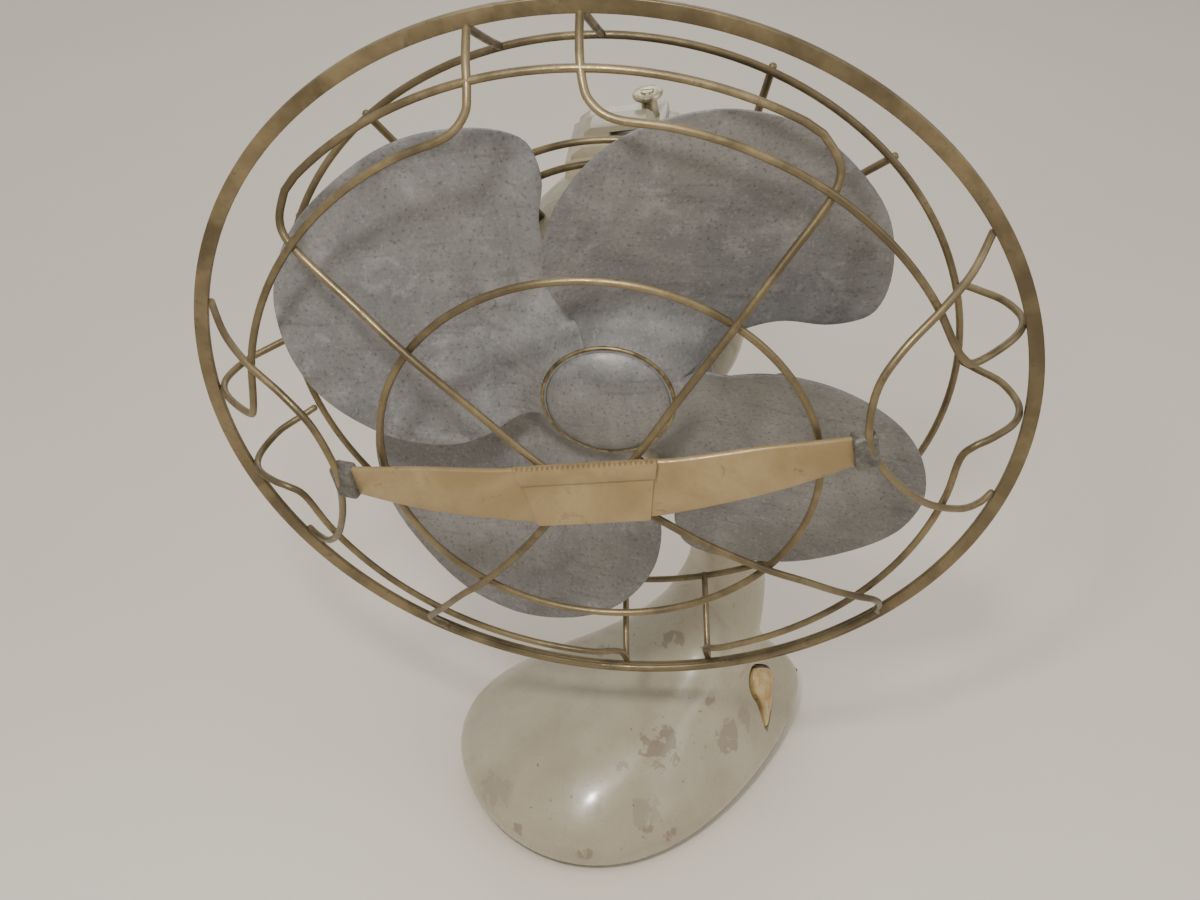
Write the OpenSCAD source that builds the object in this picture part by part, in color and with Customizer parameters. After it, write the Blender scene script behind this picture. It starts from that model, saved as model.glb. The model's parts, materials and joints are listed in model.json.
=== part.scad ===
// Desk fan with a cast pebble base, a swan neck, a tilting and oscillating
// motor head, four broad blades and a welded wire guard.
// Millimetres, +Z up, the front of the base towards -Y.

/* [Guard] */
// Outer radius of the flat guard ring
ring_r = 180; // [178:0.5:182]
// Radial width of the flat guard ring
ring_band = 6.2; // [5.8:0.1:6.6]
// Wire diameter of the guard
wire_d = 3.2; // [2.8:0.1:3.4]
// Radius of the small ring in front of the blades
mid_ring_r = 90; // [88:0.5:92]
// Distance of the small front ring ahead of the flat ring
mid_ring_y = 41; // [40:0.5:42]
// Radius of the rear guard ring
rear_ring_r = 149.5; // [148:0.5:151]
// Distance of the rear guard ring behind the flat ring
rear_ring_y = 35.3; // [34.5:0.1:36]

/* [Blades] */
// Direction of the first blade, clockwise from the top
blade_turn = 55.3; // [0:0.1:90]
// Thickness of the sheet metal blades
blade_t = 1.4; // [1:0.1:2]

/* [Motor] */
// Wall of the motor shells
shell_t = 2.4; // [2:0.1:2.6]
// Radius of the rotor shaft
shaft_r = 4; // [3.5:0.1:4]
// Radius of the rotor
rotor_r = 26; // [24:0.5:26]
// Outer radius of the stator
stator_r = 46; // [44:0.5:46]

/* [Stand] */
// Wall of the base casting
cast_t = 4; // [3.5:0.1:4.5]
// Thickness of the felt pad under the base
pad_t = 2.5; // [2:0.1:3]
// Radius of the tilt bolt
bolt_r = 4; // [3:0.5:4]

/* [Pose at rest] */
// Forward tilt of the head on the neck
head_tilt = 13.5; // [5:0.5:18]
// Turn of the head on its swivel post
head_yaw = 52; // [-50:1:52]

/* [Hidden] */
$fn = 64;

// Colours of the finishes
enamel = [0.69, 0.66, 0.59];
bronze = [0.59, 0.50, 0.32];
blade_grey = [0.50, 0.49, 0.49];
bar_gold = [0.72, 0.60, 0.38];
dark_grey = [0.25, 0.25, 0.26];
amber = [0.75, 0.62, 0.38];
steel = [0.62, 0.63, 0.65];
copper = [0.72, 0.42, 0.22];
brass = [0.75, 0.62, 0.30];
felt = [0.20, 0.22, 0.20];

wire_r = wire_d / 2;
// Clearance of a pin or shaft that turns in its hole
fit = 0.05;

// ---- Frames --------------------------------------------------------------
// Tilt hinge, with its axis along X
hinge = [0, -1.7, 227.3];
// Height of the fan axis above the hinge, and distance of the swivel axis
// behind the flat guard ring
axis_up = 96;
swivel_y = 84;

// Frame of the tilt bracket: origin on the hinge, Z along the swivel axis
module at_tilt() {
    translate(hinge) rotate([head_tilt, 0, 0]) children();
}

// Frame of the head: origin on the fan axis in the plane of the flat ring,
// X to the right seen from the front, Y to the back
module at_head() {
    at_tilt() rotate([0, 0, head_yaw]) translate([0, -swivel_y, axis_up]) children();
}

// Turns a shape about Z into one about the Y axis, its foot at y
module along_y(y = 0) {
    translate([0, y, 0]) rotate([-90, 0, 0]) children();
}

// Places children at a clockwise direction seen from the front
module clockwise(angle) {
    rotate([0, angle, 0]) children();
}

// ---- Curves and tubes ----------------------------------------------------
function unit(v) = v / norm(v);

// Point on the smooth curve through b and c, a and d being their neighbours
function spline_at(a, b, c, d, t) =
    (2 * b + (c - a) * t + (2 * a - 5 * b + 4 * c - d) * t * t
    + (3 * b - a - 3 * c + d) * t * t * t) / 2;

// Smooth open curve through points, with steps points on each stretch
function smooth(p, steps) = [
    for (i = [0 : len(p) - 2], s = [0 : steps - 1])
        spline_at(p[max(i - 1, 0)], p[i], p[i + 1], p[min(i + 2, len(p) - 1)], s / steps),
    p[len(p) - 1]
];

// Smooth closed curve through points
function smooth_loop(p, steps) = let (n = len(p)) [
    for (i = [0 : n - 1], s = [0 : steps - 1])
        spline_at(p[(i + n - 1) % n], p[i], p[(i + 1) % n], p[(i + 2) % n], s / steps)
];

// Arc about the fan axis, from one clockwise direction to another
function arc(r, y, from, to, steps) = [
    for (i = [0 : steps]) let (a = from + (to - from) * i / steps) [r * sin(a), y, r * cos(a)]
];

function mirrored(p) = [for (i = [len(p) - 1 : -1 : 0]) [-p[i][0], p[i][1], p[i][2]]];

// Faces of a closed skin of rings with the same number of points
function ring_faces(rings, n) = concat(
    [[for (j = [0 : n - 1]) j]],
    [for (i = [0 : rings - 2], j = [0 : n - 1]) let (k = (j + 1) % n)
        [i * n + j, (i + 1) * n + j, (i + 1) * n + k, i * n + k]],
    [[for (j = [n - 1 : -1 : 0]) (rings - 1) * n + j]]
);

// Directions of travel along a path
function tangents(path) = let (last = len(path) - 1) [
    for (i = [0 : last]) unit(path[min(i + 1, last)] - path[max(i - 1, 0)])
];

function across(v, t) = unit(v - (v * t) * t);

// Round wire along a path, whose rings turn as little as they can
module tube(path, r, start = [0, 1, 0], sides = 8) {
    last = len(path) - 1;
    t = tangents(path);
    sideways = [
        for (i = 0, u = across(start, t[0]); i <= last; i = i + 1, u = i <= last ? across(u, t[i]) : u) u
    ];
    points = [
        for (i = [0 : last]) let (u = sideways[i], v = cross(t[i], u))
            for (j = [0 : sides - 1])
                path[i] + r * (cos(360 * j / sides) * u + sin(360 * j / sides) * v)
    ];
    polyhedron(points, ring_faces(last + 1, sides), convexity = 6);
}

// Wire ring about the fan axis
module wire_ring(r, y) {
    along_y(y) rotate_extrude($fn = 128) translate([r, 0]) circle(wire_r, $fn = 24);
}

// ---- Base and neck -------------------------------------------------------
// Each section: front y and z, rear y and z, half width, egg factor.
// The sections lean with the neck; the egg factor makes the front wider.
SECTIONS = [
    [-99, 2.5, 99, 2.5, 64, 0.38],
    [-107, 6, 107, 6, 71, 0.38],
    [-111.6, 19, 111.6, 19, 75, 0.38],
    [-109.5, 29, 107.5, 29, 72, 0.4],
    [-99.5, 39, 96, 43.5, 63, 0.42],
    [-83, 49.5, 86, 56, 54, 0.41],
    [-63, 57.5, 79.5, 66.5, 46.5, 0.34],
    [-44, 63.5, 76, 76.5, 41.5, 0.2],
    [-24, 70, 74, 87, 36.5, 0.06],
    [-5, 79, 74, 98, 32.5, 0],
    [10, 91, 74.5, 109, 28.5, 0],
    [20, 107, 74.5, 118.5, 25, 0],
    [27, 122, 72, 128, 21.5, 0],
    [30.5, 136, 67, 137, 20, 0],
    [29, 155, 60, 160, 18.3, 0],
    [20, 175, 44, 188, 17.5, 0],
    [5, 192, 25, 210, 16.5, 0],
    [-8, 205, 10, 226, 15.5, 0],
    [-8, 218, 6, 229, 13.5, 0]
];
// Last section that the casting's core reaches
core_top = 14;
around = 36;

// Points of one section
function section(s) = let (mid = [s[0] + s[2], s[1] + s[3]] / 2)
    let (half = [s[0] - s[2], s[1] - s[3]] / 2) [
    for (j = [0 : around - 1]) let (t = 360 * j / around) [
        s[4] * sin(t) * (1 + s[5] * cos(t)), mid[0] + half[0] * cos(t), mid[1] + half[1] * cos(t)
    ]
];

// Unit vector into the wall at section i, for the front (side 1) or the rear (-1)
function inward(i, side) = let (c = side > 0 ? 0 : 2)
    let (t = [SECTIONS[i + 1][c] - SECTIONS[i - 1][c], SECTIONS[i + 1][c + 1] - SECTIONS[i - 1][c + 1]])
    i == 0 ? [side, 0] : unit([t[1], -t[0]]) * side;

// Section i of the core, one wall inside the outer skin
function core_section(i) = let (f = i == 0 ? [1, 0] : inward(i, 1), g = i == 0 ? [-1, 0] : inward(i, -1))
    let (s = SECTIONS[i]) [
        s[0] + cast_t * f[0], s[1] + cast_t * f[1],
        s[2] + cast_t * g[0], s[3] + cast_t * g[1], s[4] - cast_t, s[5]
    ];

// Flat egg outline, as long as 2 * half_len and about 2 * half_w wide
module egg(half_len, half_w) {
    polygon([for (j = [0 : 59]) let (t = 6 * j)
        [half_w * sin(t) * (1 + 0.38 * cos(t)), -half_len * cos(t)]]);
}

// Feet of the four bosses for the base plate screws, on a smaller egg
boss_xy = [for (t = [50, 130, 230, 310]) [0.76 * 75 * sin(t) * (1 + 0.38 * cos(t)), -0.76 * 111.6 * cos(t)]];
plate_top = pad_t + 2;
// Height of the cord inlet
cord_z = 14;

// Frame of the switch lever: X out of the flank, Z along the lever
lever_foot = [46, 57, 32];
lever_az = 30;
lever_el = 31;
lever_lean = 37.5;
lever_pivot_z = 4;
module at_lever() {
    translate(lever_foot) rotate([0, 0, lever_az]) rotate([0, -lever_el, 0])
        rotate([-lever_lean, 0, 0]) children();
}

// Extrudes an outline drawn in the lever's Y and Z from x to x + h
module lever_plate(x, h) {
    translate([x, 0, 0]) rotate([90, 0, 90]) linear_extrude(h) children();
}

slot_outline = [[0.6, -3], [3.2, 2.4], [8, 14], [11, 26], [11, 32], [7, 36.2], [-8, 36.4],
    [-15, 33.5], [-16.2, 26], [-12.9, 18.1], [-7.3, 12.2], [-4.4, 6], [-2, -1]];
lever_outline = [[0, 0], [1.6, 4], [6.6, 15], [9.4, 26], [9.4, 31], [6, 34.4], [-6, 34.4],
    [-10.4, 31], [-11, 26], [-8, 18.5], [-3.6, 13], [-2.2, 6], [-1, 1]];

module base_skin() {
    outer = [for (s = smooth(SECTIONS, 2)) section(s)];
    inner = [for (i = [core_top : -1 : 0]) section(core_section(i))];
    rings = len(outer) + len(inner);
    // The last ring joins the first one, which closes the rim
    faces = concat(
        [for (i = [0 : rings - 1], j = [0 : around - 1])
            let (k = (j + 1) % around, next = (i + 1) % rings)
            if (i != len(outer) - 1) [i * around + j, next * around + j, next * around + k, i * around + k]],
        [[for (j = [around - 1 : -1 : 0]) (len(outer) - 1) * around + j]],
        [[for (j = [0 : around - 1]) len(outer) * around + j]]
    );
    polyhedron([for (r = outer) each r, for (r = inner) each r], faces, convexity = 8);
}

module base_casting() {
    color(enamel) difference() {
        union() {
            base_skin();
            translate(hinge) rotate([0, 90, 0]) cylinder(r = 13, h = 30, center = true);
            for (p = boss_xy) translate([p[0], p[1], plate_top]) cylinder(r = 5, h = 34);
        }
        // Gap for the tongue, and the bolt hole
        translate(hinge) rotate([0, 90, 0]) cylinder(r = 14.6, h = 18.4, center = true);
        translate(hinge) rotate([0, 90, 0]) cylinder(r = bolt_r + 0.02, h = 40, center = true);
        for (p = boss_xy) translate([p[0], p[1], plate_top - 1]) cylinder(r = 2.05, h = 14);
        // Notch for the cord gland, open at the bottom, with a flat seat outside
        translate([-4.6, 90, 0]) cube([9.2, 30, cord_z + 4.6]);
        translate([-7, 109.3, 0]) cube([14, 10, cord_z + 7]);
        at_lever() lever_plate(-14, 26) polygon(slot_outline);
    }
}

module base_plate() {
    color(steel) difference() {
        translate([0, 0, pad_t]) linear_extrude(2) egg(94.6, 59.6);
        for (p = boss_xy) translate([p[0], p[1], 0]) cylinder(r = 2.2, h = 10);
    }
}

module base_plate_screws() {
    color(steel) for (p = boss_xy) translate([p[0], p[1], 0]) {
        translate([0, 0, pad_t - 1.7]) cylinder(r = 4, h = 1.7);
        translate([0, 0, pad_t]) cylinder(r = 2, h = 12);
    }
}

module base_pad() {
    color(felt) difference() {
        linear_extrude(pad_t) egg(98, 63.4);
        for (p = boss_xy) translate([p[0], p[1], -1]) cylinder(r = 5, h = 10);
    }
}

// Square-shouldered gland, pushed up into the notch from below
module cord_gland() {
    color(dark_grey) difference() {
        union() {
            translate([-4.5, 102, cord_z - 7]) cube([9, 8, 11.5]);
            translate([-6.5, 109.3, cord_z - 6.5]) cube([13, 2.6, 13]);
        }
        along_y(100) translate([0, -cord_z, 0]) cylinder(r = 3.3, h = 14);
    }
}

// Liner of the lever slot, with a floor and the lever's pivot pin
module slot_liner() {
    color(dark_grey) at_lever() {
        difference() {
            lever_plate(-9, 6) offset(delta = -0.15) polygon(slot_outline);
            lever_plate(-7.6, 10) offset(delta = -1.1) polygon(slot_outline);
        }
        translate([-8, 0, lever_pivot_z]) rotate([0, 90, 0]) cylinder(r = 1, h = 4.5);
    }
}

module switch_box() {
    color(dark_grey) at_lever() translate([-27, -8, 16]) cube([17.9, 14, 15]);
}

module switch_lever() {
    color(amber) at_lever() difference() {
        union() {
            lever_plate(-7.2, 8.2) polygon(lever_outline);
            lever_plate(1, 1.6) offset(delta = -1.2) polygon(lever_outline);
        }
        translate([-8, 0, lever_pivot_z]) rotate([0, 90, 0]) cylinder(r = 1 + fit, h = 5);
    }
}

// Speed choke: a laminated frame with two windows round one coil
choke_y = -45;
module choke_core() {
    color(steel) translate([0, choke_y, plate_top]) difference() {
        translate([-24, -11, 0]) cube([48, 22, 40]);
        for (side = [-1, 1]) translate([side * 12 - 6, -12, 8]) cube([12, 24, 24]);
    }
}

module choke_winding() {
    color(copper) translate([0, choke_y, plate_top + 8.4]) difference() {
        translate([-17.4, -18, 0]) cube([34.8, 36, 23.2]);
        translate([-6.2, -11.2, -1]) cube([12.4, 22.4, 26]);
        for (side = [-1, 1]) translate([side * 26 - 8.2, -11.2, -1]) cube([16.4, 22.4, 26]);
    }
}

module capacitor() {
    color(steel) translate([-36, -6, plate_top + 12]) {
        along_y() cylinder(r = 12, h = 46);
        along_y(-3) cylinder(r = 7, h = 52);
    }
}

module tilt_bolt() {
    color(steel) translate(hinge) rotate([0, 90, 0]) {
        translate([0, 0, -19.4]) cylinder(r = 7.5, h = 4.4);
        translate([0, 0, -15]) cylinder(r = bolt_r, h = 35);
    }
}

module tilt_nut() {
    color(steel) translate(hinge) rotate([0, 90, 0]) translate([0, 0, 15]) difference() {
        cylinder(r = 7.5, h = 5.5, $fn = 6);
        translate([0, 0, -1]) cylinder(r = bolt_r + 0.02, h = 8);
    }
}

// ---- Tilt bracket, swivel and link ---------------------------------------
// Heights in the head's frame, along the swivel axis
flange_z = -67.5;
socket_z = -60.5;
link_z = -65.5;
link_t = 3;
disc_z = -59.5;
stud_turn = 23;
crank_xy = [0, 119];
// Crank pin at rest, and the stud seen from the head
pin_xy = [10.6, 131.6];

module tilt_bracket() {
    color(enamel) at_tilt() difference() {
        union() {
            rotate([0, 90, 0]) cylinder(r = 12, h = 17.4, center = true);
            translate([-8.7, -9, 4]) cube([17.4, 18, axis_up + flange_z - 5]);
            translate([0, 0, axis_up + flange_z - 3]) cylinder(r = 26, h = 3);
            translate([0, 0, axis_up + flange_z - 8]) cylinder(r1 = 9, r2 = 15, h = 5.5);
        }
        rotate([0, 90, 0]) cylinder(r = bolt_r + fit, h = 40, center = true);
    }
}

module swivel_post() {
    color(steel) at_tilt() translate([0, 0, axis_up]) {
        translate([0, 0, flange_z]) cylinder(r = 5.7, h = socket_z - 0.1 - flange_z);
        translate([0, 0, flange_z]) cylinder(r = 4.5, h = -48 - flange_z);
    }
}

module link_stud() {
    color(steel) at_tilt() translate([-stud_turn, 0, axis_up]) {
        translate([0, 0, flange_z]) cylinder(r = 3.2, h = link_z - 0.1 - flange_z);
        translate([0, 0, flange_z]) cylinder(r = 1.6, h = link_z + link_t + 0.1 - flange_z);
        translate([0, 0, link_z + link_t + 0.1]) cylinder(r = 2.9, h = 1);
    }
}

module link_arm() {
    stud = [-stud_turn * cos(head_yaw), swivel_y + stud_turn * sin(head_yaw)];
    run = pin_xy - stud;
    color(steel) at_head() translate([stud[0], stud[1], link_z])
        rotate([0, 0, atan2(run[1], run[0])]) difference() {
            union() {
                cylinder(r = 3, h = link_t);
                translate([0, -2.6, 0]) cube([norm(run), 5.2, link_t]);
                translate([norm(run), 0, 0]) cylinder(r = 3, h = link_t);
            }
            translate([0, 0, -1]) cylinder(r = 1.6 + fit, h = 6);
        }
}

// ---- Motor ---------------------------------------------------------------
// Outline of the motor shell: radius and distance behind the flat ring
SHELL = [[0, 33], [26, 33], [34, 36], [46, 42], [54, 50], [57, 60], [58, 80], [56, 100],
    [52, 115], [47, 130], [38, 142], [26, 148], [0, 150]];
seam_y = 80;
lip_len = 9;
web_y = 109.5;
screw_y = 85;
lug_turns = [33, 147, 213, 327];
seam_screw_turns = [345, 65, 125, 235];
worm_xy = [18, 128];

// Inside outline, one wall smaller
function shell_inside(p) = let (m = 90) [for (q = p)
    [max(q[0] - shell_t * (q[0] > 0 ? 1 : 0), 0), q[1] < m ? q[1] + shell_t * (m - q[1]) / 40
        : q[1] - shell_t * (q[1] - m) / 40]];

// Part of the shell between two distances, hollow
module shell_part(from, to) {
    along_y() rotate_extrude($fn = 128) intersection() {
        difference() {
            polygon(SHELL);
            polygon(shell_inside(SHELL));
        }
        translate([0, from]) square([70, to - from]);
    }
}

// Plan of the gear case under the tail, seen from above
module gear_plan(big, small) {
    translate(crank_xy) circle(big);
    translate(worm_xy) circle(small);
}

module motor_front_shell() {
    color(enamel) difference() {
        at_head() union() {
            shell_part(30, seam_y);
            // Lip that the rear shell slides over
            along_y(seam_y - 3) rotate_extrude($fn = 128)
                translate([51.8, 0]) square([2.5, lip_len + 3]);
            along_y(seam_y - 3) rotate_extrude($fn = 128)
                translate([52, 0]) square([4.4, 3]);
            // Seat of the front bearing
            along_y(34) rotate_extrude($fn = 64) translate([11, 0]) square([4, 11]);
            for (a = lug_turns) clockwise(a)
                translate([-4.5, 73, 56]) cube([9, 6.9, 9]);
        }
        at_head() {
            along_y(28) cylinder(r = 9, h = 8);
            along_y(28) cylinder(r = 11.02, h = 17.5);
            for (a = lug_turns) clockwise(a) along_y(70) translate([0, -62, 0]) cylinder(r = 1.55, h = 9);
            for (a = seam_screw_turns) clockwise(a) translate([0, screw_y, 45]) cylinder(r = 1.55, h = 20);
            translate([0, swivel_y, -70]) cylinder(r = 14.1, h = 30);
        }
    }
}

// Hump over the gears, cut off flat for its lid
hump_top = 60;
module hump(inset) {
    along_y(104 + inset) linear_extrude(37 - 2 * inset)
        polygon([for (p = [[-24, 30], [-23, 52], [-19, 60], [25, 60], [29, 52], [31, 30]])
            [p[0] * (31 - inset) / 31, -p[1] + (p[1] < 60 ? 0 : -inset)]]);
}

module motor_rear_shell() {
    color(enamel) at_head() difference() {
        union() {
            difference() {
                union() {
                    along_y() rotate_extrude($fn = 128) intersection() {
                        polygon(SHELL);
                        translate([0, seam_y + 0.1]) square([70, 80]);
                    }
                    hump(0);
                }
                along_y() rotate_extrude($fn = 128) intersection() {
                    polygon(shell_inside(SHELL));
                    translate([0, seam_y]) square([70, 80]);
                }
                hump(shell_t);
                translate([-40, 100, hump_top]) cube([80, 50, 20]);
            }
            // Web that carries the rear bearing
            along_y(web_y) difference() {
                cylinder(r = 51.6, h = 2.5, $fn = 128);
                translate([0, 0, -1]) cylinder(r = 9.02, h = 5);
            }
        }
        for (a = seam_screw_turns) clockwise(a) translate([0, screw_y, 45]) cylinder(r = 1.55, h = 20);
        translate([0, swivel_y, -70]) cylinder(r = 14.1, h = 30);
        translate([0, 0, -70]) linear_extrude(32) gear_plan(19.6, 8.1);
    }
}

module shell_screws() {
    color(steel) at_head() for (a = seam_screw_turns) clockwise(a) {
        translate([0, screw_y, 58]) cylinder(r = 3, h = 1.8);
        translate([0, screw_y, 52]) cylinder(r = 1.5, h = 6.5);
    }
}

stator_y = 68;
stator_len = 30;
module stator_core() {
    color(steel) at_head() along_y(stator_y) difference() {
        cylinder(r = stator_r, h = stator_len, $fn = 96);
        translate([0, 0, -1]) cylinder(r = rotor_r + 0.6, h = stator_len + 2, $fn = 96);
    }
}

module stator_winding() {
    color(copper) at_head() for (y = [stator_y - 10, stator_y + stator_len]) along_y(y)
        rotate_extrude($fn = 96) translate([30, 0]) square([11.5, 10]);
}

module bearing(y, outer, len) {
    at_head() along_y(y) difference() {
        cylinder(r = outer, h = len);
        translate([0, 0, -1]) cylinder(r = shaft_r + fit, h = len + 2);
    }
}

module front_bearing() {
    color(brass) bearing(35.6, 11, 9);
}

module rear_bearing() {
    color(brass) bearing(108.5, 9, 4.5);
}

module swivel_socket() {
    color(enamel) at_head() translate([0, swivel_y, 0]) difference() {
        translate([0, 0, socket_z]) cylinder(r = 14, h = 14);
        translate([0, 0, socket_z - 1]) cylinder(r = 4.5 + fit, h = 14);
    }
}

module gearbox_housing() {
    color(enamel) at_head() difference() {
        translate([0, 0, -53.5]) linear_extrude(11) gear_plan(19.5, 8);
        translate([0, 0, -51.5]) linear_extrude(12) gear_plan(17.2, 5.8);
        translate([crank_xy[0], crank_xy[1], -60]) cylinder(r = 3 + fit, h = 20);
        translate([worm_xy[0], worm_xy[1], -53]) cylinder(r = 2.5 + fit, h = 5);
    }
}

// Lid with a bridge over a slot, and the guide of the clutch knob
module gearbox_cover() {
    color(enamel) at_head() difference() {
        union() {
            along_y(104) linear_extrude(37)
                polygon([[-19, -60], [-19, -62], [-12, -65.5], [25, -65.5], [25, -60]]);
            along_y(107) linear_extrude(13) polygon([[-12, -65], [-9, -73], [19.5, -73], [22, -65]]);
            translate([worm_xy[0], worm_xy[1], 55]) cylinder(r = 7, h = 6);
        }
        translate([1, 100, 65.5]) cube([17, 30, 4.5]);
        translate([worm_xy[0], worm_xy[1], 50]) cylinder(r = 3.8 + fit, h = 30);
        along_y(106.4) linear_extrude(32.2)
            polygon([[-16, -50], [-16, -63], [9.5, -63], [9.5, -50]]);
    }
}

knob_z = 75;
knob_rest_gap = 9;
module clutch_knob() {
    color(steel) at_head() translate([worm_xy[0], worm_xy[1], 0]) difference() {
        union() {
            translate([0, 0, knob_z]) cylinder(r = 7.15, h = 2.6);
            translate([0, 0, knob_z - 1]) cylinder(r1 = 3.8, r2 = 6, h = 1);
            translate([0, 0, 52]) cylinder(r = 3.8, h = knob_z - 52);
            translate([0, 0, 6 + knob_rest_gap]) cylinder(r = 2.5, h = 40);
        }
        translate([0, 0, knob_z + 1]) cylinder(r = 3.1, h = 4);
        translate([0, 0, knob_z - 8]) cylinder(r = 1.5, h = 10);
    }
}

module clutch_screw() {
    color(steel) at_head() translate([worm_xy[0], worm_xy[1], 0]) difference() {
        union() {
            translate([0, 0, knob_z + 1]) cylinder(r = 3, h = 2.4);
            translate([0, 0, knob_z - 6]) cylinder(r = 1.45, h = 7.5);
        }
        translate([-4, -0.5, knob_z + 2.4]) cube([8, 1, 3]);
    }
}

// Toothed wheel with square-cut teeth, between two radii
module toothed(outer, root, teeth, h) {
    difference() {
        cylinder(r = outer, h = h);
        for (i = [0 : teeth - 1]) rotate([0, 0, 360 * i / teeth])
            translate([root, -outer * 1.45 / teeth, -1]) cube([outer, outer * 2.9 / teeth, h + 2]);
    }
}

module worm_wheel() {
    color(brass) at_head() translate([worm_xy[0], worm_xy[1], 0]) {
        translate([0, 0, -3]) toothed(13, 11, 30, 6);
        translate([0, 0, -5]) cylinder(r = 5, h = 10);
        translate([0, 0, -52.5]) cylinder(r = 2.5, h = 50);
        translate([0, 0, -49]) toothed(3.9, 3, 10, 5);
    }
}

module crank_gear() {
    color(steel) at_head() {
        translate([crank_xy[0], crank_xy[1], 0]) {
            translate([0, 0, -49]) toothed(15.9, 14.3, 40, 5);
            translate([0, 0, disc_z + 1]) cylinder(r = 3, h = -43.5 - disc_z - 1);
            translate([0, 0, disc_z]) cylinder(r = 20, h = 2.5);
        }
        translate([pin_xy[0], pin_xy[1], disc_z - 2.5]) cylinder(r = 2, h = 3);
    }
}

// ---- Rotor ---------------------------------------------------------------
module rotor_shaft() {
    color(steel) at_head() {
        along_y(6) cylinder(r = shaft_r, h = 134);
        difference() {
            along_y(121) cylinder(r = 4.7, h = 14);
            for (i = [0 : 5]) along_y(122 + 2.2 * i) difference() {
                cylinder(r = 6, h = 1);
                translate([0, 0, -1]) cylinder(r = shaft_r, h = 3);
            }
        }
    }
}

module rotor_core() {
    color(steel) at_head() along_y(stator_y) difference() {
        cylinder(r = rotor_r, h = stator_len, $fn = 96);
        translate([0, 0, -1]) cylinder(r = shaft_r, h = stator_len + 2);
    }
}

// Cone between the spinner and the blade roots, on a boss
module blade_hub() {
    color(blade_grey) at_head() along_y() rotate_extrude($fn = 96)
        polygon([[shaft_r, 6], [12, 6], [12, 15], [33, 15], [27.6, 1], [29.6, 0], [38, 9],
            [46.5, 17.5], [45, 19.5], [12, 19.5], [12, 29], [shaft_r, 29]]);
}

BLADE = [[-15.2, 144.9], [13.6, 138.9], [36.2, 124.2], [48.5, 109], [50, 98], [42, 84],
    [26.9, 72.4], [17.7, 57.4], [0, 36.8], [-17.2, 23.7], [-40.1, 18.5], [-61.8, 26.2],
    [-77.7, 43.2], [-87.2, 64.6], [-89.5, 88], [-83.3, 110.3], [-70.1, 128.5],
    [-52.3, 140.3], [-33, 145.1]];
blade_mid = [-20, 85];
BLADE_STEPS = [1, 0.97, 0.8, 0.58, 0.34, 0.12];

// Distance of the blade's sheet behind the flat ring: pitch, cup and rake
function blade_y(p) = let (r = norm(p), a = atan2(p[0], p[1]), turn = a * PI / 180)
    17 + 22.6 * sin(a) * pow(r / 110, 0.93) - 9.1 * turn * turn - 6 * (r - 110) / 110;

function blade_ring(s, side) = [
    for (q = smooth_loop(BLADE, 2)) let (p = blade_mid + s * (q - blade_mid))
        [p[0], blade_y(p) + side * blade_t / 2, p[1]]
];

module blade(turn) {
    rings = concat(
        [for (i = [len(BLADE_STEPS) - 1 : -1 : 0]) blade_ring(BLADE_STEPS[i], -1)],
        [for (s = BLADE_STEPS) blade_ring(s, 1)]
    );
    color(blade_grey) at_head() clockwise(turn)
        polyhedron([for (r = rings) each r], ring_faces(len(rings), len(rings[0])), convexity = 6);
}

module spinner_cap() {
    color(blade_grey) at_head() along_y() rotate_extrude($fn = 96)
        polygon([[0, -9], [8, -8.5], [16, -6.6], [22, -3.9], [26, -0.9], [27.4, 1], [24, 3],
            [0, 3]]);
}

module spinner_ring() {
    color(brass) at_head() along_y() rotate_extrude($fn = 96)
        polygon([[27.6, -1.2], [28.6, -2.2], [29.8, -1.6], [30.2, -0.2], [29.6, 0], [27.6, 0.9]]);
}

// ---- Guard ---------------------------------------------------------------
module guard_flat_ring() {
    color(bronze) at_head() along_y(-1.3) rotate_extrude($fn = 128)
        translate([ring_r - ring_band, 0]) square([ring_band, 2.6]);
}

module guard_mid_ring() {
    color(bronze) at_head() wire_ring(mid_ring_r, -mid_ring_y);
}

module guard_rear_ring() {
    color(bronze) at_head() wire_ring(rear_ring_r, rear_ring_y);
}

// Right leg of each rear loop, from the end of its arc to the rear ring
inner_leg = [[54, 58.6, 75.1], [57.3, 58.3, 73.5], [60.4, 57.4, 73.7], [62.7, 56.2, 75.6],
    [64.2, 54.8, 79], [68, 50.6, 89], [75, 44.2, 107.4], [82, 38.2, 126.2]];
outer_leg = [[65.3, 62.8, 45.4], [67.4, 62.6, 43.2], [69.6, 62.1, 42.5], [71.9, 61.3, 42.8],
    [74, 60.5, 43.7], [88, 54.5, 54], [107, 46.3, 68.4], [125.9, 38.2, 82.5]];

// Arc over the motor whose two ends bend out to the rear ring
module rear_loop(r, y, reach, leg) {
    right = smooth(leg, 2);
    tube(concat(mirrored(right), arc(r, y, -reach, reach, 12), right), wire_r, [1, 0, 0]);
}

module rear_loops() {
    rear_loop(92.5, 58.6, 34, inner_leg);
    rear_loop(79.5, 62.8, 53, outer_leg);
}

module guard_rear_upper_wires() {
    color(bronze) at_head() rear_loops();
}

module guard_rear_lower_wires() {
    color(bronze) at_head() mirror([0, 0, 1]) rear_loops();
}

// Half of each front loop, from behind the bar to its arc
upper_leg = [[9, -56.2, 5], [20, -55.4, 15.5], [40, -51, 39], [63, -44, 64], [84, -33.4, 85.5],
    [98, -26.3, 99.5], [104.6, -22.5, 108.5], [105.2, -19.6, 116], [100.5, -17.4, 125.5]];
lower_leg = [[9, -56.2, -5], [20, -55.4, -15.5], [40, -51, -39], [62, -44, -62.5], [77, -39.5, -75.5],
    [90, -32.8, -90], [99.5, -26, -101.5], [106, -18.5, -112], [108.2, -11.5, -122.5],
    [106.6, -5.5, -133]];

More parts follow.
